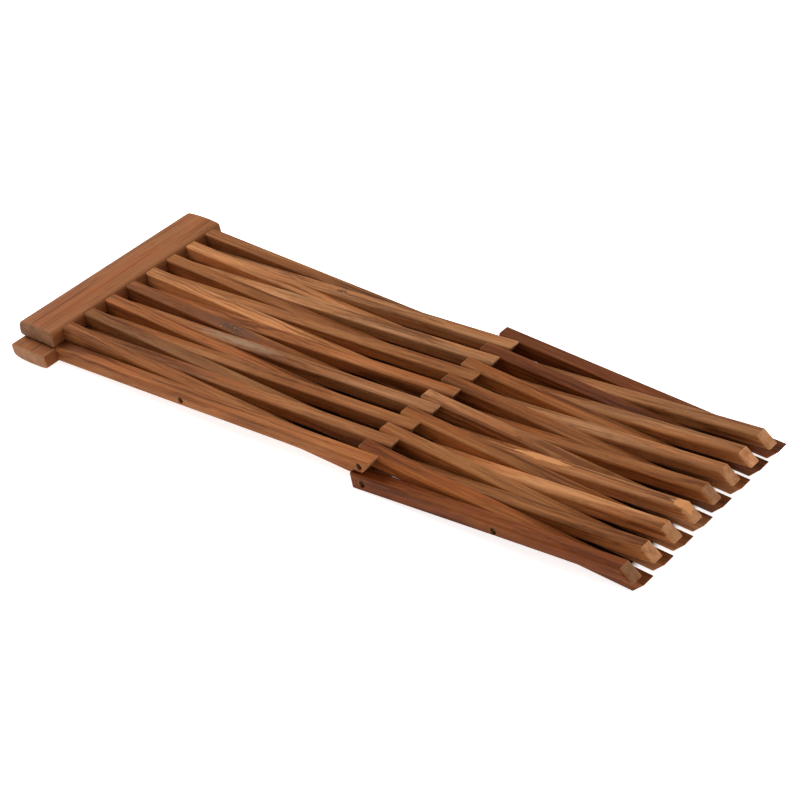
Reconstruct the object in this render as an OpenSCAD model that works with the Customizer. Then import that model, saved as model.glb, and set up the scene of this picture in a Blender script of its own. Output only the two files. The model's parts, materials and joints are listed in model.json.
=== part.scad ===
// Folding slatted stool in oiled hardwood, modelled folded flat.
//
// Two scissor units in a row make one flat loop of four bars:
//   lower legs  - foot rail and slats that rise to the upper hinge
//   upper legs  - foot rail and slats that fall to the lower hinge
//   rising seat - slats that start at the lower hinge
//   falling seat - slats that start at the upper hinge
// The legs cross at the leg pivot and the seat slats cross at the seat pivot.
// Even lanes hold lower legs and rising seat slats, odd lanes hold the other two.
// +X runs from the foot rails to the free slat ends, +Z is up, and the origin is
// on the floor under the middle of the folded stool.

/* [Slats] */
// Slats in each of the four sets
slat_count = 8; // [4:1:9]
// Thickness of one slat across the stool
slat_w = 18.5; // [14:0.5:24]
// Air gap between two neighbouring slats
slat_gap = 0.5; // [0.4:0.1:1.5]
// Length that a leg slat runs on past the middle hinge, on its outer side
leg_head = 20; // [15:1:24]
// Angle that the top end of a leg slat is cut back from square
leg_end_cut = 41; // [30:1:45]
// Length that a seat slat runs on before the middle hinge
seat_head = 17; // [12:1:19]
// Distance from the seat pivot to the free tip of a seat slat
seat_tip = 185.5; // [150:0.5:186]
// Angle that the free end of a seat slat is cut back from square
seat_end_cut = 42; // [40:1:50]

/* [Linkage] */
// Distance from the leg pivot to either middle hinge
leg_arm = 295; // [280:1:320]
// Distance from the seat pivot to either middle hinge
seat_arm = 193; // [188:1:210]
// Height of the upper middle hinge above the mid plane when folded
hinge_rise = 12.8; // [12.5:0.1:14]
// Distance from the leg pivot to the faces of the foot rails
leg_tail = 232; // [180:1:260]

/* [Foot rails] */
// Width of a foot rail along the slats
rail_w = 66; // [50:1:80]
// Gap between the two foot rails when folded
rail_gap = 2.8; // [1:0.2:6]
// Rail beyond its first slat
rail_front_margin = 21; // [20:1:40]
// Rail beyond its last slat
rail_back_margin = 13; // [5:1:40]
// Radius of the rail's nose on its outer side
rail_nose_r = 9; // [4:0.5:10]
// Radius of the rail's other corners
rail_edge_r = 5; // [2:0.5:8]
// Length of the tenons of the leg slats
tenon_l = 22; // [10:1:30]
// Height and width of the tenons
tenon_t = 12; // [8:0.5:13]

/* [Pivots] */
// Diameter of the four pivot rods
rod_d = 6; // [4:0.5:8]
// Diameter of the holes that sink the rod caps
recess_d = 9; // [8:0.5:10]
// Depth of the holes that sink the rod caps
recess_depth = 9; // [6:0.5:12]
// Length of a rod cap
cap_l = 5; // [4:0.5:5]

/* [Hidden] */
pitch = slat_w + slat_gap;
lane_count = 2 * slat_count;
stack_w = lane_count * pitch;

// The two arms of each scissor share the same rise, which sets their folded tilt.
leg_tilt = asin(hinge_rise / leg_arm);
seat_tilt = asin(hinge_rise / seat_arm);
hinge_x = leg_arm * cos(leg_tilt);
seat_pivot_x = hinge_x + seat_arm * cos(seat_tilt);

// Half depths of the slats, measured square to their centre lines
leg_outer_tail = 11.2;
leg_outer = 10.8;
leg_inner_tail = 10.4;
leg_inner_pivot = 8.4;
leg_inner_waist = 6.7;
leg_inner_flare = 7.2;
leg_inner_head = 8.5;
seat_top_head = 10.5;
seat_top_shoulder = 8.6;
seat_top_mid = 7;
seat_top_waist = 6;
seat_top_tip = 5.4;
seat_under_head = 12;
seat_under = 11.6;

// Places along the slats where their depth changes
leg_waist_x = leg_arm * 0.6;
leg_flare_x = leg_arm - 40;
seat_shoulder_x = -seat_arm / 2;
seat_waist_x = seat_tip * 0.45;

// Half the folded height, which the slat ends and the rails share
folded_half = 24.6;
rail_h = folded_half - rail_gap / 2;
rail_len = (lane_count - 2) * pitch + slat_w + rail_front_margin + rail_back_margin;

// Fits
rod_play = 0.05;
tenon_play = 0.1;
tenon_end_play = 0.5;
cap_play = 0.2;
cap_gap = 0.15;
cap_bite = 3;

// Cutting tools run past the wood by this much, and legs are drawn past the rail before they are cut off
overcut = 1;
leg_overdraw = 1.1;
rail_arris = 1;

// The folded stool is centred on the origin and stands on z = 0.
tip_x = seat_pivot_x + seat_tip * cos(seat_tilt) + seat_top_tip * sin(seat_tilt);
heel_x = -leg_tail - rail_w;
mid_x = (tip_x + heel_x) / 2;
front_y = -rail_front_margin;
back_y = stack_w - slat_gap + rail_back_margin;
mid_y = (front_y + back_y) / 2;

leg_names = [for (k = [1:slat_count]) each [str("lower_leg_slat_", k), str("upper_leg_slat_", k)]];
seat_names = [for (k = [1:slat_count]) each [str("rising_seat_slat_", k), str("falling_seat_slat_", k)]];
rod_names = [
    "leg_pivot_rod", "upper_hinge_rod", "lower_hinge_rod",
    "seat_pivot_rod_rising", "seat_pivot_rod_falling"
];
cap_names = [
    for (rod = ["leg_pivot", "upper_hinge", "lower_hinge", "seat_pivot"])
        each [str(rod, "_front_cap"), str(rod, "_back_cap")]
];

// Wood tones, repeated across the stool
wood_tones = ["sienna", "peru", "saddlebrown", "#a4683f", "#b9855a"];
function tone(n) = wood_tones[(n * 7) % len(wood_tones)];

// Points of an arc in the X-Z plane
function arc(c, r, from, to, steps = 6) =
    [for (i = [0:steps]) let (a = from + (to - from) * i / steps) c + r * [cos(a), sin(a)]];

// ---- placing ----

// Puts linkage coordinates (leg pivot at x = 0, mid plane at z = 0) into the stool's frame
module in_frame() {
    translate([-mid_x, -mid_y, folded_half]) children();
}

// Stands a flat X-Z outline up as a board of width w that starts at y
module board(y, w) {
    translate([0, y + w, 0])
    rotate([90, 0, 0])
    linear_extrude(height = w)
    children();
}

// The upper legs and falling seat are the other two sets turned over
module turned_over(yes) {
    if (yes) mirror([0, 0, 1]) children();
    else children();
}

// A straight hole or rod across the stool, from y along +Y
module across(x, z, y, d, l) {
    translate([x, y, z])
    rotate([-90, 0, 0])
    cylinder(d = d, h = l, $fn = 48);
}

// ---- leg slats, drawn as the lower set ----

module leg_outline() {
    cut_run = (leg_outer + leg_inner_head) * tan(leg_end_cut);
    rotate(leg_tilt)
    polygon([
        [-leg_tail * leg_overdraw, leg_outer_tail],
        [0, leg_outer],
        [leg_arm + leg_head, leg_outer],
        [leg_arm + leg_head - cut_run, -leg_inner_head],
        [leg_flare_x, -leg_inner_flare],
        [leg_waist_x, -leg_inner_waist],
        [0, -leg_inner_pivot],
        [-leg_tail * leg_overdraw, -leg_inner_tail],
    ]);
}

module leg_slat_blank(y) {
    intersection() {
        board(y, slat_w) leg_outline();
        translate([-leg_tail, y - overcut, -2 * folded_half])
        cube([leg_tail + leg_arm + 2 * leg_head, slat_w + 2 * overcut, 4 * folded_half]);
    }
    translate([-leg_tail - tenon_l, y + (slat_w - tenon_t) / 2, rail_mid_z() - tenon_t / 2])
    cube([tenon_l + overcut, tenon_t, tenon_t]);
}

// A leg slat in the given lane, bored for the leg pivot and for its middle hinge
module leg_slat(lane, over) {
    y = lane * pitch;
    turned_over(over)
    difference() {
        leg_slat_blank(y);
        bore(0, 0, y);
        bore(hinge_x, hinge_rise, y);
        sink(lane, 0, 0, y);
        sink(lane, hinge_x, hinge_rise, y);
    }
}

// ---- seat slats, drawn as the rising set ----

module seat_outline() {
    cut_run = (seat_top_tip + seat_under) * tan(seat_end_cut);
    start = -seat_arm - seat_head;
    translate([seat_pivot_x, 0])
    rotate(seat_tilt)
    polygon([
        [start, seat_under_head],
        [seat_shoulder_x, seat_under],
        [seat_tip - cut_run, seat_under],
        [seat_tip, -seat_top_tip],
        [seat_waist_x, -seat_top_waist],
        [0, -seat_top_mid],
        [seat_shoulder_x, -seat_top_shoulder],
        [start, -seat_top_head],
    ]);
}

module seat_slat(lane, over) {
    y = lane * pitch;
    turned_over(over)
    difference() {
        board(y, slat_w) seat_outline();
        bore(hinge_x, -hinge_rise, y);
        bore(seat_pivot_x, 0, y);
        sink(lane, hinge_x, -hinge_rise, y);
        sink(lane, seat_pivot_x, 0, y);
    }
}

// Running hole for a rod through one slat
module bore(x, z, y) {
    across(x, z, y - overcut, rod_d + 2 * rod_play, slat_w + 2 * overcut);
}

// Wider blind hole for a cap, only in the first and last lanes
module sink(lane, x, z, y) {
    sink_l = recess_depth + overcut;
    if (lane == 0) across(x, z, y - overcut, recess_d, sink_l);
    if (lane == lane_count - 1) across(x, z, y + slat_w - recess_depth, recess_d, sink_l);
}

// ---- foot rails, drawn as the lower rail ----

function rail_mid_z() = -(folded_half + rail_gap / 2) / 2;

module rail_outline() {
    top = -rail_gap / 2;
    bottom = -folded_half;
    left = heel_x;
    right = -leg_tail;
    inner_nose_r = rail_edge_r + rail_arris;
    polygon(concat(
        arc([left + inner_nose_r, top - inner_nose_r], inner_nose_r, 180, 90),
        [[right - rail_arris, top], [right, top - rail_arris]],
        arc([right - rail_edge_r, bottom + rail_edge_r], rail_edge_r, 0, -90),
        arc([left + rail_nose_r, bottom + rail_nose_r], rail_nose_r, 270, 180)
    ));
}

// First slat of the lower set is in lane 0 and of the upper set in lane 1
module foot_rail(first_lane, over) {
    hole = tenon_t + 2 * tenon_play;
    turned_over(over)
    difference() {
        board(first_lane * pitch - rail_front_margin, rail_len) rail_outline();
        for (lane = [first_lane:2:lane_count - 1])
            translate([
                -leg_tail - tenon_l - tenon_end_play,
                lane * pitch + (slat_w - hole) / 2,
                rail_mid_z() - hole / 2
            ])
            cube([tenon_l + tenon_end_play + overcut, hole, hole]);
    }
}

// ---- pivot rods and caps ----

rod_start = recess_depth - cap_bite + cap_gap;

module full_rod(x, z) {
    across(x, z, rod_start, rod_d, stack_w - slat_gap - 2 * rod_start);
}

// The seat pivot is where the loop is left open, so its rod is cut at every
// slat: each length stays with the slat that it runs in.
module rod_lengths(first_lane) {
    for (lane = [first_lane:2:lane_count - 1]) {
        y = lane * pitch;
        from = lane == 0 ? rod_start : y;
        to = lane == lane_count - 1 ? stack_w - slat_gap - rod_start : y + slat_w;
        across(seat_pivot_x, 0, from, rod_d, to - from);
    }
}

// A round cap with a blind bore that takes the end of a rod
module cap(x, z, back) {
    cap_d = recess_d - 2 * cap_play;
    seat_y = recess_depth - cap_gap;
    translate([x, back ? stack_w - slat_gap : 0, z])
    mirror([0, back ? 1 : 0, 0])
    difference() {
        across(0, 0, seat_y - cap_l, cap_d, cap_l);
        across(0, 0, rod_start - cap_gap, rod_d + 2 * rod_play, cap_l);
    }
}

// ---- sub-parts ----

module lower_foot_rail() {
    color("saddlebrown") in_frame() foot_rail(0, false);
}

module upper_foot_rail() {
    color("saddlebrown") in_frame() foot_rail(1, true);
}

module lower_leg_slat(k) {
    color(tone(k)) in_frame() leg_slat(2 * k - 2, false);
}

module upper_leg_slat(k) {
    color(tone(k + 3)) in_frame() leg_slat(2 * k - 1, true);
}

module rising_seat_slat(k) {
    color(tone(k + 1)) in_frame() seat_slat(2 * k - 2, false);
}

module falling_seat_slat(k) {
    color(tone(k + 2)) in_frame() seat_slat(2 * k - 1, true);
}

module leg_pivot_rod() {
    color("dimgray") in_frame() full_rod(0, 0);
}

module upper_hinge_rod() {
    color("dimgray") in_frame() full_rod(hinge_x, hinge_rise);
}

module lower_hinge_rod() {
    color("dimgray") in_frame() full_rod(hinge_x, -hinge_rise);
}

module seat_pivot_rod_rising() {
    color("dimgray") in_frame() rod_lengths(0);
}

module seat_pivot_rod_falling() {
    color("dimgray") in_frame() rod_lengths(1);
}

module leg_pivot_cap(back) {
    color("darkgray") in_frame() cap(0, 0, back);
}

module upper_hinge_cap(back) {
    color("darkgray") in_frame() cap(hinge_x, hinge_rise, back);
}

module lower_hinge_cap(back) {
    color("darkgray") in_frame() cap(hinge_x, -hinge_rise, back);
}

module seat_pivot_cap(back) {
    color("darkgray") in_frame() cap(seat_pivot_x, 0, back);
}

lower_foot_rail();
upper_foot_rail();
for (k = [1:slat_count]) {
    lower_leg_slat(k);
    upper_leg_slat(k);
    rising_seat_slat(k);
    falling_seat_slat(k);
}
leg_pivot_rod();
upper_hinge_rod();
lower_hinge_rod();
seat_pivot_rod_rising();
seat_pivot_rod_falling();
leg_pivot_cap(false);  // leg_pivot_front_cap
leg_pivot_cap(true);  // leg_pivot_back_cap
upper_hinge_cap(false);  // upper_hinge_front_cap
upper_hinge_cap(true);  // upper_hinge_back_cap
lower_hinge_cap(false);  // lower_hinge_front_cap
lower_hinge_cap(true);  // lower_hinge_back_cap
seat_pivot_cap(false);  // seat_pivot_front_cap
seat_pivot_cap(true);  // seat_pivot_back_cap
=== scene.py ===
# A folding slatted stool of hardwood finished with oil, lying folded flat on a pale floor. The
# wooden pieces are remade from the outlines and boxes of the CAD nodes, with eased edges, and the
# rods and caps are the CAD nodes themselves.

import json
import math
import random

import bmesh
import bpy
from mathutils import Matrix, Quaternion, Vector


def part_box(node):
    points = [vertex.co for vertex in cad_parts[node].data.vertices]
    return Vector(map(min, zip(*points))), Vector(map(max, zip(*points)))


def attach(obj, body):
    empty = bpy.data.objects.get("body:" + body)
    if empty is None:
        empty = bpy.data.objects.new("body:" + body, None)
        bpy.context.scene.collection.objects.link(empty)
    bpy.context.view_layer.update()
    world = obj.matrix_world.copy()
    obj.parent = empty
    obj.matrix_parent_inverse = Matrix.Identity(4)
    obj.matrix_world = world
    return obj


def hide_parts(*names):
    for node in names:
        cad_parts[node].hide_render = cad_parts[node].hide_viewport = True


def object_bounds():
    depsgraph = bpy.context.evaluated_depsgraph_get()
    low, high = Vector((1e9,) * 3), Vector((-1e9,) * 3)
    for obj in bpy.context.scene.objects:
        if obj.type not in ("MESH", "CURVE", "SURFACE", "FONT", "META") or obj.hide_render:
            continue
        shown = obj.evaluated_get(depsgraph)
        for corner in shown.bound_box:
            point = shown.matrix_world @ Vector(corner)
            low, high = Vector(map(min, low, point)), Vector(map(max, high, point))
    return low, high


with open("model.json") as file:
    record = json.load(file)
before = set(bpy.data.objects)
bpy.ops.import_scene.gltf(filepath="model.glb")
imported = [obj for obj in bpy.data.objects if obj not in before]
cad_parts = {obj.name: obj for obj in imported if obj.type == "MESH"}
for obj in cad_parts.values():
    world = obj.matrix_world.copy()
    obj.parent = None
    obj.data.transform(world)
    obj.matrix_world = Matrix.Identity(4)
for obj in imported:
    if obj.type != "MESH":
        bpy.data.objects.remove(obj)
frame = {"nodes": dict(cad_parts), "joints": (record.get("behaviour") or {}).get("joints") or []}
CAD_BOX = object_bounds()
MM = 0.001


# ---- places, all read from the frame ----

def middle(node):
    low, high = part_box(node)
    return (low + high) / 2


JOINTS = {joint["name"]: joint for joint in frame["joints"]}
LEG_PIVOT = Vector(JOINTS["leg_fold"]["pos_m"])
LOWER_HINGE = Vector(JOINTS["rising_seat_fold"]["pos_m"])
UPPER_HINGE = Vector(JOINTS["falling_seat_fold"]["pos_m"])
SEAT_PIVOT = middle("seat_pivot_front_cap")
LEG_TILT = math.atan2(UPPER_HINGE.z - LEG_PIVOT.z, UPPER_HINGE.x - LEG_PIVOT.x)
SEAT_TILT = math.atan2(UPPER_HINGE.z - SEAT_PIVOT.z, SEAT_PIVOT.x - UPPER_HINGE.x)
SLATS_PER_SET = 8
LAST_LANE = 2 * SLATS_PER_SET - 1

# Each set: body, first lane, tilt of its slats, and the two pivots that they turn on
SLAT_SETS = {
    "lower_leg_slat": ("lower_legs", 0, LEG_TILT, (LEG_PIVOT, UPPER_HINGE)),
    "upper_leg_slat": ("upper_legs", 1, -LEG_TILT, (LEG_PIVOT, LOWER_HINGE)),
    "rising_seat_slat": ("rising_seat", 0, SEAT_TILT, (LOWER_HINGE, SEAT_PIVOT)),
    "falling_seat_slat": ("falling_seat", 1, -SEAT_TILT, (UPPER_HINGE, SEAT_PIVOT)),
}


# ---- sizes of the details that CAD leaves plain ----

# Radii of the long edges; each seat set has its own on top and underneath at the free end
LEG_EDGE_R = 2.8 * MM
HINGE_END_EDGE_R = 2.8 * MM
FREE_END_EDGE_R = {
    "rising_seat_slat": (4.8 * MM, 3.2 * MM),
    "falling_seat_slat": (1.2 * MM, 1.8 * MM),
}
RAIL_OUTER_EDGE_R = 5.0 * MM
RAIL_INNER_EDGE_R = 1.8 * MM

# Radii of the corners of the side outlines
HINGE_END_CORNER_R = 2.4 * MM
FREE_END_CORNER_R = 0.9 * MM
RAIL_CORNER_R = 1.2 * MM
SMALLEST_R = 0.3 * MM

# Largest share of an edge of the outline that the rounding of one of its corners may take
LARGEST_CUT = 0.45

# How far the rail's outer face falls away to its edges, and how far a leg slat runs into its rail
RAIL_CROWN = 2.6 * MM
RUN_IN = 1.5 * MM

# Holes for the rods, with a wider sunk mouth for each cap
ROD_HOLE_R = 3.05 * MM
RECESS_R = 4.5 * MM
RECESS_DEPTH = 9 * MM
RIM_BEVEL = 0.5 * MM
OVERCUT = 1 * MM

# Fineness of the meshes
EDGE_STEPS = 4
CORNER_STEPS = 4
HOLE_STEPS = 40
SLAT_STATION = 14 * MM
RAIL_STATION = 7 * MM

# A turn this large is shaded as a hard edge, and a corner of it gets the full painted highlight and
# wear
SHARP_ANGLE = math.radians(40)

# Tolerances for reading an outline off a CAD mesh; STRAIGHT is the sine of a turn
SAME_POINT = 1e-6
SAME_PLANE = 1e-5
STRAIGHT = 2e-4


# ---- colours ----

# Colour of the bare figure of each tone; its dark and light streaks are worked out from it
TONES = {
    "sand": (0.440, 0.196, 0.078),
    "tan": (0.320, 0.127, 0.045),
    "straw": (0.295, 0.133, 0.055),
    "fawn": (0.276, 0.113, 0.042),
    "dun": (0.234, 0.096, 0.036),
    "amber": (0.240, 0.080, 0.023),
    "brown": (0.205, 0.072, 0.021),
    "cedar": (0.189, 0.054, 0.013),
    "bark": (0.168, 0.064, 0.021),
    "umber": (0.151, 0.049, 0.014),
    "russet": (0.158, 0.040, 0.009),
    "walnut": (0.113, 0.030, 0.008),
    "rail": (0.224, 0.083, 0.031),
}
SLAT_TONES = {
    "lower_leg_slat": ("amber", "brown", "brown", "dun", "amber", "brown", "straw", "straw"),
    "upper_leg_slat": ("brown", "bark", "amber", "umber", "sand", "brown", "tan", "bark"),
    "rising_seat_slat": ("russet", "brown", "tan", "fawn", "brown", "dun", "dun", "dun"),
    "falling_seat_slat": ("cedar", "brown", "brown", "fawn", "umber", "brown", "walnut", "walnut"),
}

# Factors on a tone or colour
DARK_STREAK = (0.46, 0.38, 0.32)
LIGHT_STREAK = (1.40, 1.56, 1.75)
VEIN = (0.5, 0.45, 0.4)
REDDENED = (1.04, 0.87, 0.72)
# Painted highlight and wear: the paler colour of rounded edges
EDGE_WEAR_AND_HIGHLIGHT = (1.15, 1.25, 1.4)
# Painted shade at the falling seat slats' free ends
PAINTED_SHADE_FACTOR = (0.52, 0.44, 0.36)
TARNISHED = (0.35, 0.35, 0.35)

# Painted light and shade as factors on the slats' sides, the rails' sides and the stool's near side
SIDE_PAINTED_SHADING = {
    "lower_leg_slat": (0.96, 0.87, 0.72),
    "upper_leg_slat": (1.15, 1.04, 0.86),
    "rising_seat_slat": (1.24, 1.15, 1.00),
    "falling_seat_slat": (1.48, 1.45, 1.30),
}
RAIL_SIDE_PAINTED_SHADE = (0.74, 0.66, 0.58)
OUTER_SIDE_PAINTED_SHADING = (0.94, 0.89, 0.70)

# Cut ends have one colour, darker or lighter from piece to piece, with patches of their own
CUT_WOOD = (0.290, 0.130, 0.058)
CUT_DARK_PATCH = (0.66, 0.58, 0.50)
CUT_LIGHT_PATCH = (1.2, 1.26, 1.34)
PLAIN_CUT = 0.85
SEAT_END_CUTS = (0.66, 1.34, 1.10, 1.20, 0.83, 1.15, 1.60, 1.30)
LOWER_RAIL_CUT = 0.90
UPPER_RAIL_CUT = 0.56

# Colours of the marks
SAPWOOD = (0.52, 0.225, 0.082)
WEATHERED = (0.27, 0.165, 0.098)
STAIN = (0.112, 0.047, 0.026)
KNOT_CRUST = (0.052, 0.023, 0.013)
KNOT_SPECK = (0.42, 0.22, 0.10)

# The wood's own reflection under its oil is warm
SPECULAR_TINT = (1.0, 0.70, 0.46, 1)
STEEL = (0.30, 0.28, 0.26)
STEEL_ROUGHNESS = 0.4
BRASS = (0.20, 0.13, 0.06)
BRASS_ROUGHNESS = 0.45


# ---- figure of the wood ----

# Frequencies of the noises along and across the grain, per metre
WANDER_SCALE = (4.5, 20, 20)
BROAD_SCALE = (3.5, 42, 42)
STREAK_SCALE = (3.2, 230, 230)
FIBRE_SCALE = (16, 900, 900)
REDDENING_SCALE = (5, 60, 60)
VEIN_SCALE = (3.5, 120, 120)
PORE_SCALE = (150, 2400, 2400)
CUT_PATCH_SCALE = (60, 110, 110)
# Patches of the painted highlight and wear on edges
EDGE_WEAR_AND_HIGHLIGHT_SCALE = (40, 90, 90)
MARK_EDGE_SCALE = (45, 260, 260)
KNOT_SCALE = (230, 340, 340)
TARNISH_SCALE = (900, 900, 900)

# Shares of the figure
RING_SHARE = 0.05
BROAD_SHARE = 0.49
STREAK_SHARE = 0.34
FIBRE_SHARE = 0.12

# Growth rings, along the wood and on its cut ends
RING_GAP = 6 * MM
RING_DISTORTION = 5.0
CUT_RING_GAP = 1.8 * MM
CUT_RING_DISTORTION = 2.5
CUT_RING_SHARE = 0.08

GRAIN_WANDER = 14 * MM
FIGURE_CONTRAST = 1.2
RAIL_CONTRAST = 0.6
VEIN_WIDTH = 0.02
PORE_STRENGTH = 0.3
EDGE_WEAR_AND_HIGHLIGHT_STRENGTH = 0.5
# Painted highlight and wear along the rounded long edges
LONG_EDGE_WEAR_AND_HIGHLIGHT = 0.35

# Each kind of mark: raggedness and softness of its edge, and strength
MARK_KINDS = {
    "sapwood": (1.3, 0.05, 0.88),
    "weathered": (1.2, 0.6, 0.75),
    "stain": (1.2, 0.6, 0.75),
    "knot": (1.6, 0.3, 0.85),
    # Painted shade at the falling seat slats' free ends
    "oiled": (0.3, 0.7, 1.0),
}

# Marks on single slats, in mm: kind, place (x, y from the slat's middle, z), half sizes
MARKS = {
    "rising_seat_slat_4": (
        ("sapwood", (265, 1, 42), (54, 6, 12)),
        ("sapwood", (484, 0, 56), (38, 14, 16)),
    ),
    "upper_leg_slat_4": (
        ("stain", (-240, 0, 34), (85, 9, 14)),
        ("knot", (-230, -1, 34), (26, 8, 10)),
    ),
    "lower_leg_slat_8": (("knot", (-160, 1, 36), (9, 4, 6)),),
    "lower_leg_slat_4": (("weathered", (-208, 0, 37), (95, 9, 9)),),
}
# Painted shade: the falling seat slats are darkened towards their free ends, where the rising seat
# slats shade them
FREE_END_PAINTED_SHADE = ("oiled", (475, 0, 20), (85, 16, 40))


# ---- stage ----

FLOOR_HALF = 6.0
FLOOR_DROP = 0.2 * MM
FLOOR_GLOW = 0.8
FLOOR_WHITE = (0.75, 0.75, 0.75)
# Painted shade: the floor's colour under the stool, where it does not glow
PAINTED_SHADE_UNDER_STOOL = (0.05, 0.03, 0.02)
SKY_REACH = 0.1

# The floor that the folded stool hides, as insets from its box on the -X, +X, -Y and +Y sides
COVERED_INSETS = (0.03, 0.045, 0.065, 0.02)
COVERED_EDGE = 10 * MM

# Area lights: name, azimuth and elevation in degrees, and power in watts
LIGHTS = (
    ("key", 272, 42, 54),
    ("back", 170, 44, 25),
    ("side_fill", 85, 36, 17),
)
LIGHT_DISTANCE = 2.5
LIGHT_SIZE = 1.5
WORLD_STRENGTH = 0.42

CAMERA_AZIMUTH = 44.82
CAMERA_ELEVATION = 34.62
CAMERA_ROLL = -8.60
CAMERA_DISTANCE = 2.4197
CAMERA_TARGET = Vector((0.0406, 0.00425, 0.0246))
CAMERA_LENS = 90.22
CAMERA_SHIFT = -0.0101


# ---- node helpers ----

def add(tree, kind, **settings):
    node = tree.nodes.new("ShaderNode" + kind)
    for key, value in settings.items():
        setattr(node, key, value)
    return node


def feed(tree, socket, value):
    """Links value to the socket if it is an output, or sets it there if it is plain data."""
    if isinstance(value, bpy.types.NodeSocket):
        tree.links.new(value, socket)
    else:
        socket.default_value = value


def maths(tree, operation, a, b=0.0, clamp=False):
    node = add(tree, "Math", operation=operation, use_clamp=clamp)
    feed(tree, node.inputs[0], a)
    feed(tree, node.inputs[1], b)
    return node.outputs[0]


def blend_colors(tree, factor, a, b, mode="MIX"):
    node = add(tree, "Mix", data_type="RGBA", blend_type=mode)
    feed(tree, node.inputs[0], factor)
    for socket, value in ((node.inputs[6], a), (node.inputs[7], b)):
        feed(tree, socket, value if isinstance(value, bpy.types.NodeSocket) else (*value, 1))
    return node.outputs[2]


def ramp(tree, value, stops):
    """A colour ramp; each stop is (position, grey or colour)."""
    node = add(tree, "ValToRGB")
    elements = node.color_ramp.elements
    while len(elements) < len(stops):
        elements.new(0.5)
    for element, (position, color) in zip(elements, stops):
        element.position = position
        element.color = (*color, 1) if isinstance(color, tuple) else (color, color, color, 1)
    feed(tree, node.inputs[0], value)
    return node.outputs[0]


def mapping(tree, vector, scale=(1, 1, 1), shift=(0, 0, 0), turn=(0, 0, 0)):
    node = add(tree, "Mapping")
    feed(tree, node.inputs["Vector"], vector)
    node.inputs["Location"].default_value = shift
    node.inputs["Rotation"].default_value = turn
    node.inputs["Scale"].default_value = scale
    return node.outputs[0]


def noise(tree, vector, detail=3.0, roughness=0.55):
    node = add(tree, "TexNoise")
    feed(tree, node.inputs["Vector"], vector)
    node.inputs["Scale"].default_value = 1.0
    node.inputs["Detail"].default_value = detail
    node.inputs["Roughness"].default_value = roughness
    return node.outputs[0]


def vector_math(tree, operation, a, b=(0, 0, 0)):
    node = add(tree, "VectorMath", operation=operation)
    feed(tree, node.inputs[0], a)
    feed(tree, node.inputs[1], b)
    return node.outputs["Value" if operation in ("LENGTH", "DOT_PRODUCT") else "Vector"]


def weighted_sum(tree, parts):
    """The sum of value * weight over (value, weight) pairs."""
    total = None
    for value, weight in parts:
        term = maths(tree, "MULTIPLY", value, weight)
        total = term if total is None else maths(tree, "ADD", total, term)
    return total


def from_half(tree, value):
    """How far a noise is above its middle value."""
    return maths(tree, "SUBTRACT", value, 0.5)


def facing(tree, normal, axis, stops):
    """A ramp over how squarely a face looks along the axis, either way."""
    cosine = vector_math(tree, "DOT_PRODUCT", normal, axis)
    return ramp(tree, maths(tree, "ABSOLUTE", cosine), stops)


def new_material(name):
    """(material, its tree, its Principled shader)."""
    material = bpy.data.materials.new(name)
    material.use_nodes = True
    return material, material.node_tree, material.node_tree.nodes["Principled BSDF"]


def set_bump(tree, shader, height, strength, distance):
    bump = add(tree, "Bump")
    bump.inputs["Strength"].default_value = strength
    bump.inputs["Distance"].default_value = distance
    feed(tree, bump.inputs["Height"], height)
    feed(tree, shader.inputs["Normal"], bump.outputs[0])


# ---- materials ----

def tinted(color, factors):
    return tuple(c * f for c, f in zip(color, factors))


def steeper(stops, contrast):
    """The stops of a ramp pulled towards the middle, which raises its contrast."""
    return [(0.5 + (position - 0.5) / contrast, value) for position, value in stops]


def bent_grain(tree, along, drift):
    """The grain's own coordinates: along X, with a slow sideways wander."""
    slow = noise(tree, mapping(tree, along, WANDER_SCALE, drift), 1.0)
    wander = maths(tree, "MULTIPLY", from_half(tree, slow), GRAIN_WANDER)
    offset = add(tree, "CombineXYZ")
    feed(tree, offset.inputs[1], wander)
    feed(tree, offset.inputs[2], wander)
    return vector_math(tree, "ADD", along, offset.outputs[0])


def pith_place(tree, grain, draw, drift):
    """Coordinates about a pith that lies outside the piece and leans a little."""
    bearing = draw.uniform(0, 2 * math.pi)
    reach = draw.uniform(25, 70) * MM
    lean = (0, draw.uniform(-0.03, 0.03), draw.uniform(-0.03, 0.03))
    shift = (drift[0], reach * math.cos(bearing), reach * math.sin(bearing))
    return mapping(tree, grain, turn=lean, shift=shift)


def growth_rings(tree, pith, ring_gap, distortion):
    rings = add(tree, "TexWave", wave_type="RINGS", rings_direction="X", wave_profile="SIN")
    feed(tree, rings.inputs["Vector"], pith)
    rings.inputs["Scale"].default_value = math.pi / 10 / ring_gap
    rings.inputs["Distortion"].default_value = distortion
    rings.inputs["Detail"].default_value = 3.0
    rings.inputs["Detail Scale"].default_value = 0.5
    return rings.outputs["Fac"]


def cut_end_color(tree, along, pith, drift, cut):
    """Fine rings and soft patches on a sawn end; cut makes it darker or lighter."""
    rings = growth_rings(tree, pith, CUT_RING_GAP, CUT_RING_DISTORTION)
    patches = noise(tree, mapping(tree, along, CUT_PATCH_SCALE, drift), 5.0, 0.6)
    shade = weighted_sum(tree, ((rings, CUT_RING_SHARE), (patches, 1 - CUT_RING_SHARE)))
    plain = tinted(CUT_WOOD, (cut, cut, cut))
    dark, light = tinted(plain, CUT_DARK_PATCH), tinted(plain, CUT_LIGHT_PATCH)
    return ramp(tree, shade, ((0.32, dark), (0.48, plain), (0.66, light)))


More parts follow.
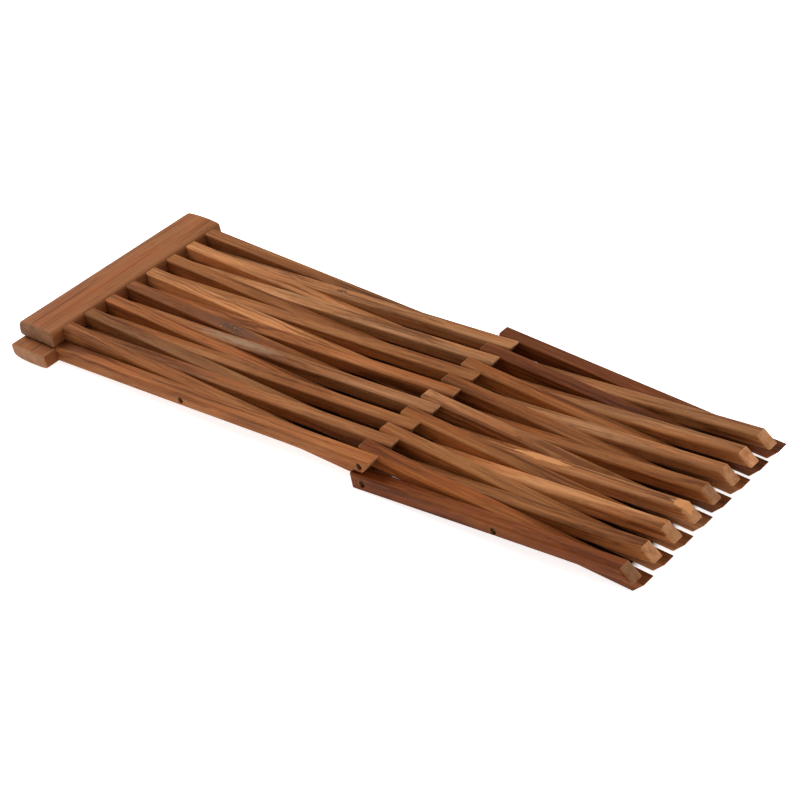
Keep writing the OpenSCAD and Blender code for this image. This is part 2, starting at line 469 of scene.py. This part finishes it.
def mark_mask(tree, place, center, radii, ragged, soft):
    """1 inside an ellipsoid with a ragged edge, 0 outside, and the edge value itself."""
    inverse = tuple(1 / r for r in radii)
    shift = tuple(-c / r for c, r in zip(center, radii))
    reach = vector_math(tree, "LENGTH", mapping(tree, place, inverse, shift))
    rough = from_half(tree, noise(tree, mapping(tree, place, MARK_EDGE_SCALE)))
    value = maths(tree, "ADD", reach, maths(tree, "MULTIPLY", rough, ragged))
    return ramp(tree, value, ((1.0 - soft, 1.0), (1.0, 0.0))), value


def add_mark(tree, place, color, kind, center, radii):
    ragged, soft, strength = MARK_KINDS[kind]
    mask, value = mark_mask(tree, place, center, radii, ragged, soft)
    # Painted shade: the falling seat slats' free ends are darkened
    if kind == "oiled":
        return blend_colors(tree, mask, color, PAINTED_SHADE_FACTOR, "MULTIPLY")
    if kind == "sapwood":
        rim = ramp(tree, value, ((0.97, 0.0), (1.0, 0.55), (1.06, 0.0)))
        color = blend_colors(tree, rim, color, KNOT_CRUST)
        inside = SAPWOOD
    elif kind == "knot":
        mottle = noise(tree, mapping(tree, place, KNOT_SCALE), 3.0, 0.65)
        inside = ramp(tree, mottle, ((0.40, KNOT_CRUST), (0.62, STAIN), (0.67, KNOT_SPECK)))
    else:
        inside = WEATHERED if kind == "weathered" else STAIN
    return blend_colors(tree, maths(tree, "MULTIPLY", mask, strength), color, inside)


def wood(name, tone, seed, turn, side, contrast=FIGURE_CONTRAST, cut=PLAIN_CUT, marks=()):
    """Oiled hardwood whose grain runs along X once the coordinates are turned by turn.

    side is (axis, tint): the faces that look along that axis are tinted with painted light or shade.
    """
    main = TONES[tone]
    dark, light = tinted(main, DARK_STREAK), tinted(main, LIGHT_STREAK)
    draw = random.Random(seed)
    drift = (draw.uniform(-9, 9), draw.uniform(-9, 9), draw.uniform(-9, 9))
    material, tree, shader = new_material(name)
    coordinates = add(tree, "TexCoord")
    place = coordinates.outputs["Object"]
    normal = coordinates.outputs["Normal"]
    along = mapping(tree, place, turn=turn)
    grain = bent_grain(tree, along, drift)
    pith = pith_place(tree, grain, draw, drift)

    rings = growth_rings(tree, pith, RING_GAP, RING_DISTORTION)
    broad = noise(tree, mapping(tree, grain, BROAD_SCALE, drift), 2.0)
    streak = noise(tree, mapping(tree, grain, STREAK_SCALE, drift), 4.0, 0.62)
    fibre = noise(tree, mapping(tree, grain, FIBRE_SCALE, drift))
    figure = weighted_sum(tree, (
        (rings, RING_SHARE), (broad, BROAD_SHARE), (streak, STREAK_SHARE), (fibre, FIBRE_SHARE),
    ))
    stops = steeper(((0.405, dark), (0.485, main), (0.53, main), (0.61, light)), contrast)
    color = ramp(tree, figure, stops)

    # Redder stretches
    reddening_drift = (drift[1], drift[2], drift[0])
    reddening = noise(tree, mapping(tree, grain, REDDENING_SCALE, reddening_drift), 2.0)
    red_share = ramp(tree, reddening, ((0.43, 0.0), (0.62, 0.8)))
    color = blend_colors(tree, red_share, color, REDDENED, "MULTIPLY")

    # Thin dark veins that follow the grain
    vein_noise = noise(tree, mapping(tree, grain, VEIN_SCALE, (drift[2], drift[0], drift[1])))
    from_vein = maths(tree, "ABSOLUTE", from_half(tree, vein_noise))
    vein = maths(tree, "MULTIPLY", ramp(tree, from_vein, ((0.0, 1.0), (VEIN_WIDTH, 0.0))), streak)
    color = blend_colors(tree, vein, color, tinted(dark, VEIN))

    # Short dark pores
    pores = noise(tree, mapping(tree, grain, PORE_SCALE, drift), 1.0)
    pore_mask = ramp(tree, pores, ((0.60, 0.0), (0.72, 1.0)))
    color = blend_colors(tree, maths(tree, "MULTIPLY", pore_mask, PORE_STRENGTH), color, dark)

    # Painted light and shade on the sides, tinted lighter or darker than the faces, and drier, paler
    # cut ends
    side_axis, side_painted_shading = side
    painted_side_mask = facing(tree, normal, side_axis, ((0.6, 0.0), (0.85, 1.0)))
    color = blend_colors(tree, painted_side_mask, color, side_painted_shading, "MULTIPLY")
    is_cut = facing(tree, mapping(tree, normal, turn=turn), (1, 0, 0), ((0.45, 0.0), (0.55, 0.94)))
    color = blend_colors(tree, is_cut, color, cut_end_color(tree, along, pith, drift, cut))

    for kind, center, radii in marks:
        color = add_mark(tree, place, color, kind, center, radii)

    # Painted highlight and wear: rounded edges are paler
    edge_wear_and_highlight_share = add(tree, "Attribute", attribute_name="edge").outputs["Fac"]
    patches = noise(tree, mapping(tree, along, EDGE_WEAR_AND_HIGHLIGHT_SCALE, drift))
    wear_and_highlight = maths(tree, "MULTIPLY", edge_wear_and_highlight_share, ramp(tree, patches, ((0.35, 0.2), (0.65, 1.0))))
    wear_and_highlight = maths(tree, "MULTIPLY", wear_and_highlight, EDGE_WEAR_AND_HIGHLIGHT_STRENGTH)
    color = blend_colors(tree, wear_and_highlight, color, tinted(light, EDGE_WEAR_AND_HIGHLIGHT))
    feed(tree, shader.inputs["Base Color"], color)

    feed(tree, shader.inputs["Roughness"], ramp(tree, streak, ((0.3, 0.68), (0.7, 0.52))))
    shader.inputs["Specular IOR Level"].default_value = 0.15
    shader.inputs["Specular Tint"].default_value = SPECULAR_TINT
    relief = maths(tree, "SUBTRACT", maths(tree, "MULTIPLY", streak, 0.7), pore_mask)
    set_bump(tree, shader, relief, strength=0.3, distance=0.15 * MM)
    material.diffuse_color = (*main, 1)
    return material


def metal(name, color, roughness):
    """Dull metal with fine scratches and tarnish."""
    material, tree, shader = new_material(name)
    place = add(tree, "TexCoord").outputs["Object"]
    tarnish = noise(tree, mapping(tree, place, TARNISH_SCALE))
    dull = tinted(color, TARNISHED)
    feed(tree, shader.inputs["Base Color"], ramp(tree, tarnish, ((0.35, dull), (0.6, color))))
    roughness_stops = ((0.3, roughness + 0.2), (0.7, roughness))
    feed(tree, shader.inputs["Roughness"], ramp(tree, tarnish, roughness_stops))
    shader.inputs["Metallic"].default_value = 1.0
    set_bump(tree, shader, tarnish, strength=0.2, distance=0.1 * MM)
    return material


# ---- meshes ----

def side_outline(node):
    """The corners (x, z) of the node's front face in order, without its holes."""
    source = frame["nodes"][node].data
    front_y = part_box(node)[0].y
    work = bmesh.new()
    work.from_mesh(source)
    bmesh.ops.remove_doubles(work, verts=work.verts, dist=SAME_POINT)
    front = {f for f in work.faces if all(abs(v.co.y - front_y) < SAME_PLANE for v in f.verts)}
    rim = [e for e in work.edges if sum(f in front for f in e.link_faces) == 1]
    follows = {}
    for edge in rim:
        for a, b in (edge.verts, reversed(edge.verts)):
            follows.setdefault(a, []).append(b)
    loops = []
    left = set(follows)
    while left:
        start = min(left, key=lambda v: (v.co.x, v.co.z))
        loop = [start]
        left.discard(start)
        while True:
            onward = [v for v in follows[loop[-1]] if v in left]
            if not onward:
                break
            loop.append(onward[0])
            left.discard(onward[0])
        loops.append([Vector((v.co.x, v.co.z)) for v in loop])
    work.free()
    longest = max(loops, key=lambda points: max(p.x for p in points) - min(p.x for p in points))
    area = sum(a.x * b.y - b.x * a.y for a, b in zip(longest, longest[1:] + longest[:1]))
    if area < 0:
        longest.reverse()
    return without_straight_points(longest)


def without_straight_points(loop):
    """The loop's real corners."""
    kept = []
    for i, point in enumerate(loop):
        before = (point - loop[i - 1]).normalized()
        after = (loop[(i + 1) % len(loop)] - point).normalized()
        if abs(before.x * after.y - before.y * after.x) > STRAIGHT:
            kept.append(point)
    return kept


def inset_outline(corners, insets):
    """The edges of an anticlockwise outline moved inwards by each corner's own inset, and mitred."""
    moved = []
    for i, point in enumerate(corners):
        before = (point - corners[i - 1]).normalized()
        after = (corners[(i + 1) % len(corners)] - point).normalized()
        bisector = Vector((-before.y, before.x)) + Vector((-after.y, after.x))
        moved.append(point + bisector * (2 * insets[i] / bisector.length_squared))
    return moved


def rounded_outline(corners, radii, counts):
    """(point, share of painted highlight and wear) round the outline.

    Corner i is rounded by radii[i], and edge i has counts[i] steps.
    """
    size = len(corners)
    arcs = []
    for i, point in enumerate(corners):
        before = corners[i - 1] - point
        after = corners[(i + 1) % size] - point
        turn = math.pi - before.angle(after)
        shortest = min(before.length, after.length)
        cut = min(radii[i] * math.tan(turn / 2), LARGEST_CUT * shortest)
        start = point + before.normalized() * cut
        end = point + after.normalized() * cut
        sharpness = min(1.0, turn / SHARP_ANGLE)
        arc = []
        for step in range(CORNER_STEPS + 1):
            t = step / CORNER_STEPS
            spot = (1 - t) ** 2 * start + 2 * t * (1 - t) * point + t ** 2 * end
            arc.append((spot, sharpness * math.sin(math.pi * t)))
        arcs.append(arc)
    loop = []
    for i, arc in enumerate(arcs):
        loop.extend(arc)
        last, following = arc[-1][0], arcs[(i + 1) % size][0][0]
        for step in range(1, counts[i]):
            loop.append((last.lerp(following, step / counts[i]), 0.0))
    return loop


def eased_board(name, corners, y_from, y_to, edge_r, corner_r, station):
    """A board between two Y planes.

    edge_r(point) and corner_r(point) say how far the long edges, and the corners of the outline,
    are rounded over at a point (x, z).
    """
    size = len(corners)
    counts = [
        max(1, round((corners[(i + 1) % size] - corners[i]).length / station)) for i in range(size)
    ]
    steps = [math.pi / 2 * step / EDGE_STEPS for step in range(EDGE_STEPS + 1)]
    rows = [(y_from, 1, angle) for angle in steps]
    rows += [(y_to, -1, angle) for angle in reversed(steps)]

    work = bmesh.new()
    edge_layer = work.verts.layers.float.new("edge")
    rings = []
    for y, inward, angle in rows:
        insets = [edge_r(p) * (1 - math.sin(angle)) for p in corners]
        rounding = [max(corner_r(p) - inset, SMALLEST_R) for p, inset in zip(corners, insets)]
        ring = []
        for p, corner_wear_and_highlight in rounded_outline(inset_outline(corners, insets), rounding, counts):
            vertex = work.verts.new((p.x, y + inward * edge_r(p) * (1 - math.cos(angle)), p.y))
            # The edge attribute carries the share of painted highlight and wear
            vertex[edge_layer] = max(corner_wear_and_highlight, LONG_EDGE_WEAR_AND_HIGHLIGHT * math.sin(2 * angle))
            ring.append(vertex)
        rings.append(ring)
    for near, far in zip(rings, rings[1:]):
        for i in range(len(near)):
            j = (i + 1) % len(near)
            work.faces.new((near[i], near[j], far[j], far[i]))
    work.faces.new(list(reversed(rings[0])))
    work.faces.new(rings[-1])
    bmesh.ops.recalc_face_normals(work, faces=work.faces)
    mesh = bpy.data.meshes.new(name)
    work.to_mesh(mesh)
    work.free()
    piece = bpy.data.objects.new(name, mesh)
    bpy.context.scene.collection.objects.link(piece)
    return piece


def lathe_cutter(profiles):
    """One mesh of solids of revolution about Y; each is (x, z, [(y, radius), ...])."""
    work = bmesh.new()
    angles = [2 * math.pi * i / HOLE_STEPS for i in range(HOLE_STEPS)]
    for x, z, profile in profiles:
        rings = []
        for y, radius in profile:
            rings.append([
                work.verts.new((x + radius * math.cos(a), y, z + radius * math.sin(a)))
                for a in angles
            ])
        for near, far in zip(rings, rings[1:]):
            for i in range(HOLE_STEPS):
                j = (i + 1) % HOLE_STEPS
                work.faces.new((near[i], near[j], far[j], far[i]))
        work.faces.new(rings[0])
        work.faces.new(rings[-1])
    bmesh.ops.recalc_face_normals(work, faces=work.faces)
    mesh = bpy.data.meshes.new("cutter")
    work.to_mesh(mesh)
    work.free()
    cutter = bpy.data.objects.new("cutter", mesh)
    bpy.context.scene.collection.objects.link(cutter)
    return cutter


def hole_profile(lane, y_from, y_to):
    """Through hole for the rod, with a sunk mouth in the first and last lanes."""
    wide = RECESS_R + RIM_BEVEL
    if lane == 0:
        return [
            (y_from - OVERCUT, wide), (y_from, wide),
            (y_from + RIM_BEVEL, RECESS_R), (y_from + RECESS_DEPTH, RECESS_R),
            (y_from + RECESS_DEPTH, ROD_HOLE_R), (y_to + OVERCUT, ROD_HOLE_R),
        ]
    if lane == LAST_LANE:
        return [
            (y_from - OVERCUT, ROD_HOLE_R), (y_to - RECESS_DEPTH, ROD_HOLE_R),
            (y_to - RECESS_DEPTH, RECESS_R), (y_to - RIM_BEVEL, RECESS_R),
            (y_to, wide), (y_to + OVERCUT, wide),
        ]
    return [(y_from - OVERCUT, ROD_HOLE_R), (y_to + OVERCUT, ROD_HOLE_R)]


def cut_holes(piece, cutter):
    cut = piece.modifiers.new("holes", "BOOLEAN")
    cut.operation = "DIFFERENCE"
    cut.solver = "EXACT"
    cut.object = cutter
    bpy.context.view_layer.update()
    evaluated = piece.evaluated_get(bpy.context.evaluated_depsgraph_get())
    mesh = bpy.data.meshes.new_from_object(evaluated)
    piece.modifiers.clear()
    piece.data = mesh
    bpy.data.objects.remove(cutter)


def finish_surface(piece, material):
    piece.data.materials.clear()
    piece.data.materials.append(material)
    piece.data.polygons.foreach_set("use_smooth", [True] * len(piece.data.polygons))
    piece.data.set_sharp_from_angle(angle=SHARP_ANGLE)
    weighted = piece.modifiers.new("even shading", "WEIGHTED_NORMAL")
    weighted.keep_sharp = True


# ---- the stool ----


def seat_edge_r(kind, hinge):
    """The edges' rounding changes from the hinge to the seat pivot, and then stays the same."""
    top_r, under_r = FREE_END_EDGE_R[kind]

    def edge_r(point):
        along = (point.x - hinge.x) / (SEAT_PIVOT.x - hinge.x)
        is_top = point.y > hinge.z + (SEAT_PIVOT.z - hinge.z) * along
        change = (top_r if is_top else under_r) - HINGE_END_EDGE_R
        return HINGE_END_EDGE_R + change * min(1.0, max(0.0, along))
    return edge_r


def leg_edge_r(point):
    return LEG_EDGE_R


def slat_corner_r(point):
    """The free ends of the seat slats are cut crisply; every other end is rounded off."""
    return FREE_END_CORNER_R if point.x > SEAT_PIVOT.x else HINGE_END_CORNER_R


def rail_corner_r(point):
    return RAIL_CORNER_R


def slat_marks(node):
    """The node's marks, with their places in the frame, in metres."""
    marks = MARKS.get(node, ())
    # The falling seat slats get painted shade towards their free ends
    if "falling" in node:
        marks += (FREE_END_PAINTED_SHADE,)
    y = middle(node).y
    return [
        (kind, (x * MM, y + dy * MM, z * MM), tuple(r * MM for r in radii))
        for kind, (x, dy, z), radii in marks
    ]


def make_slat(kind, number):
    """A slat with eased edges and its holes; a leg slat runs on a little way into its rail."""
    body, first_lane, tilt, pivots = SLAT_SETS[kind]
    node = f"{kind}_{number}"
    lane = first_lane + 2 * (number - 1)
    low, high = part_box(node)
    corners = side_outline(node)
    if "leg" in kind:
        left = min(p.x for p in corners)
        corners = [
            Vector((p.x - RUN_IN, p.y)) if p.x < left + 10 * SAME_PLANE else p for p in corners
        ]
        edge_r = leg_edge_r
    else:
        edge_r = seat_edge_r(kind, pivots[0])
    slat = eased_board(f"eased_{node}", corners, low.y, high.y, edge_r, slat_corner_r, SLAT_STATION)
    profile = hole_profile(lane, low.y, high.y)
    cut_holes(slat, lathe_cutter([(p.x, p.z, profile) for p in pivots]))
    tone = SLAT_TONES[kind][number - 1]
    marks = slat_marks(node)
    cut = SEAT_END_CUTS[number - 1] if kind == "rising_seat_slat" else PLAIN_CUT
    # The sides get painted light or shade, with a tint of their own on the outermost lane
    side = ((0, 1, 0), SIDE_PAINTED_SHADING[kind] if lane else OUTER_SIDE_PAINTED_SHADING)
    material = wood(f"{kind}_wood_{number}", tone, node, (0, tilt, 0), side, cut=cut, marks=marks)
    finish_surface(slat, material)
    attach(slat, body)
    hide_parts(node)


def make_rail(node, body, outward, cut):
    """A foot rail with a crowned outer face.

    outward is 1 where the outer face is on top, and -1 where it is underneath.
    """
    low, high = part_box(node)
    center = (low + high) / 2
    inner_z, outer_z = (low.z, high.z) if outward > 0 else (high.z, low.z)

    def outerness(z):
        return (z - inner_z) / (outer_z - inner_z)

    def edge_r(point):
        share = min(1.0, max(0.0, outerness(point.y)))
        return RAIL_INNER_EDGE_R + (RAIL_OUTER_EDGE_R - RAIL_INNER_EDGE_R) * share

    rail = eased_board(
        f"eased_{node}", side_outline(node), low.y, high.y, edge_r, rail_corner_r, RAIL_STATION,
    )
    for vertex in rail.data.vertices:
        across = 2 * (vertex.co.x - center.x) / (high.x - low.x)
        vertex.co.z -= outward * RAIL_CROWN * across ** 2 * outerness(vertex.co.z)
    along_y = (0, 0, -math.pi / 2)
    # The rail's sides get painted shade
    side = ((1, 0, 0), RAIL_SIDE_PAINTED_SHADE)
    finish_surface(rail, wood(f"{node}_wood", "rail", node, along_y, side, RAIL_CONTRAST, cut))
    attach(rail, body)
    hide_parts(node)


def dress_metal():
    """The CAD rods and caps stay, with better materials."""
    steel = metal("rod_steel_worn", STEEL, STEEL_ROUGHNESS)
    brass = metal("cap_brass_aged", BRASS, BRASS_ROUGHNESS)
    for name, cad in frame["nodes"].items():
        if name.endswith("_cap"):
            cad.data.materials.clear()
            cad.data.materials.append(brass)
        elif "_rod" in name:
            cad.data.materials.clear()
            cad.data.materials.append(steel)


# ---- stage, light and camera ----

def covered_floor(tree):
    """0 on the rectangle of floor that the folded stool hides, and 1 outside it."""
    low, high = CAD_BOX
    x_from, x_to, y_from, y_to = COVERED_INSETS
    covered = ((low.x + x_from, high.x - x_to), (low.y + y_from, high.y - y_to))
    place = add(tree, "SeparateXYZ")
    feed(tree, place.inputs[0], add(tree, "TexCoord").outputs["Object"])
    outside = None
    for axis, (start, end) in enumerate(covered):
        offset = maths(tree, "SUBTRACT", place.outputs[axis], (start + end) / 2)
        beyond = maths(tree, "SUBTRACT", maths(tree, "ABSOLUTE", offset), (end - start) / 2)
        outside = beyond if outside is None else maths(tree, "MAXIMUM", outside, beyond)
    return maths(tree, "DIVIDE", outside, COVERED_EDGE, clamp=True)


def make_floor():
    """A white table that glows round the stool, so that the shadow does not spread past it."""
    mesh = bpy.data.meshes.new("floor")
    signs = ((-1, -1), (1, -1), (1, 1), (-1, 1))
    mesh.from_pydata([(FLOOR_HALF * x, FLOOR_HALF * y, 0) for x, y in signs], [], [(0, 1, 2, 3)])
    floor = bpy.data.objects.new("floor", mesh)
    bpy.context.scene.collection.objects.link(floor)
    floor.location.z = -FLOOR_DROP
    material = bpy.data.materials.new("pale_floor")
    material.use_nodes = True
    tree = material.node_tree
    shader = tree.nodes["Principled BSDF"]
    shader.inputs["Roughness"].default_value = 0.9
    shader.inputs["Specular IOR Level"].default_value = 0.1
    shader.inputs["Emission Color"].default_value = (1, 1, 1, 1)

    # Under the stool the floor glows only where it is open to the sky, as it is once the stool
    # stands up
    above = add(tree, "AmbientOcclusion", samples=8)
    above.inputs["Distance"].default_value = SKY_REACH
    open_sky = ramp(tree, above.outputs["AO"], ((0.45, 0.0), (0.8, 1.0)))
    lit = maths(tree, "MAXIMUM", covered_floor(tree), open_sky)
    feed(tree, shader.inputs["Emission Strength"], maths(tree, "MULTIPLY", lit, FLOOR_GLOW))
    # Painted shade: where the floor does not glow, its colour turns near-black
    feed(tree, shader.inputs["Base Color"], blend_colors(tree, lit, PAINTED_SHADE_UNDER_STOOL, FLOOR_WHITE))
    mesh.materials.append(material)


def toward(azimuth, elevation):
    """A unit vector in degrees; azimuth 0 is the -Y side and 90 the +X side."""
    a, e = math.radians(azimuth), math.radians(elevation)
    return Vector((math.sin(a) * math.cos(e), -math.cos(a) * math.cos(e), math.sin(e)))


def soft_light(name, azimuth, elevation, power):
    """A square area light that looks at the stool."""
    back = toward(azimuth, elevation)
    data = bpy.data.lights.new(name, "AREA")
    data.shape = "SQUARE"
    data.size = LIGHT_SIZE
    data.energy = power
    light = bpy.data.objects.new(name, data)
    bpy.context.scene.collection.objects.link(light)
    light.location = back * LIGHT_DISTANCE
    light.rotation_mode = "QUATERNION"
    light.rotation_quaternion = back.to_track_quat("Z", "Y")


def make_light():
    for name, azimuth, elevation, power in LIGHTS:
        soft_light(name, azimuth, elevation, power)
    world = bpy.data.worlds.new("studio")
    world.use_nodes = True
    background = world.node_tree.nodes["Background"]
    background.inputs["Color"].default_value = (1, 1, 1, 1)
    background.inputs["Strength"].default_value = WORLD_STRENGTH
    bpy.context.scene.world = world
    bpy.context.scene.view_settings.view_transform = "Standard"


def make_camera():
    """A long lens, looking down the stool from its near right corner, rolled a little."""
    back = toward(CAMERA_AZIMUTH, CAMERA_ELEVATION)
    data = bpy.data.cameras.new("camera")
    data.sensor_width = 36
    data.lens = CAMERA_LENS
    data.shift_y = CAMERA_SHIFT
    data.clip_start = 0.1
    data.clip_end = 50
    camera = bpy.data.objects.new("camera", data)
    bpy.context.scene.collection.objects.link(camera)
    camera.location = CAMERA_TARGET + back * CAMERA_DISTANCE
    camera.rotation_mode = "QUATERNION"
    roll = Quaternion((0, 0, 1), math.radians(CAMERA_ROLL))
    camera.rotation_quaternion = (-back).to_track_quat("-Z", "Y") @ roll
    bpy.context.scene.camera = camera


make_camera()
make_floor()
make_light()
for kind in SLAT_SETS:
    for number in range(1, SLATS_PER_SET + 1):
        make_slat(kind, number)
make_rail("lower_foot_rail", "lower_legs", -1, LOWER_RAIL_CUT)
make_rail("upper_foot_rail", "upper_legs", 1, UPPER_RAIL_CUT)
dress_metal()
